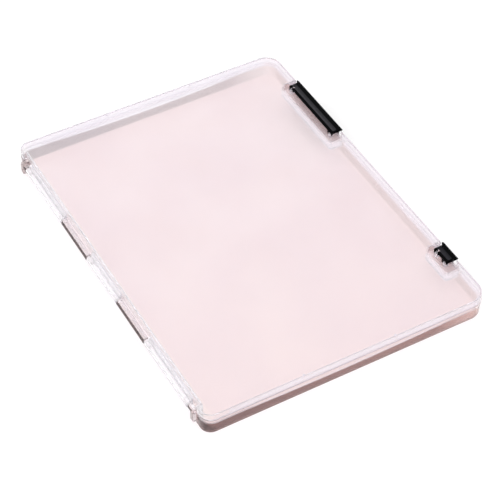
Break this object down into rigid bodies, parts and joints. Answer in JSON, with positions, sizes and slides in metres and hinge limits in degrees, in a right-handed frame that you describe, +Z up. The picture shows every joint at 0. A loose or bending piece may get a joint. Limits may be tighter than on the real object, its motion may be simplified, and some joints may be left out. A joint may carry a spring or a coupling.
{
  "type": "document case",
  "caption": "Slim clear plastic case for A4 sheets: a tinted tray, a hinged clear lid along one long side and black snap latches along the other.",
  "frame": {"origin": "on the table under the middle of the closed case", "axes": "+X from the hinge side to the latch side, +Y along the long side towards the long latch, +Z up"},
  "size_m": [0.23, 0.308, 0.0193],
  "materials": {
    "tinted_plastic": "translucent pinkish-brown tint, satin",
    "clear_plastic": "clear with a fine haze",
    "black_plastic": "glossy, with a dark grey dish"
  },
  "bodies": {
    "base_tray": {"base_tray": "tinted_plastic"},
    "lid": {"lid": "clear_plastic"},
    "long_latch": {"long_latch": "black_plastic"},
    "short_latch": {"short_latch": "black_plastic"}
  },
  "joints": [
    {"name": "lid_hinge", "type": "hinge", "parent": "base_tray", "child": "lid", "pos_m": [-0.1122, 0.0011, 0.0098], "axis": [0, -1, 0], "range_deg": [0, 170]},
    {"name": "long_latch_hinge", "type": "hinge", "parent": "lid", "child": "long_latch", "pos_m": [0.1064, 0.0803, 0.0152], "axis": [0, -1, 0], "range_deg": [0, 95]},
    {"name": "short_latch_hinge", "type": "hinge", "parent": "lid", "child": "short_latch", "pos_m": [0.1064, -0.1033, 0.0152], "axis": [0, -1, 0], "range_deg": [0, 95]}
  ]
}
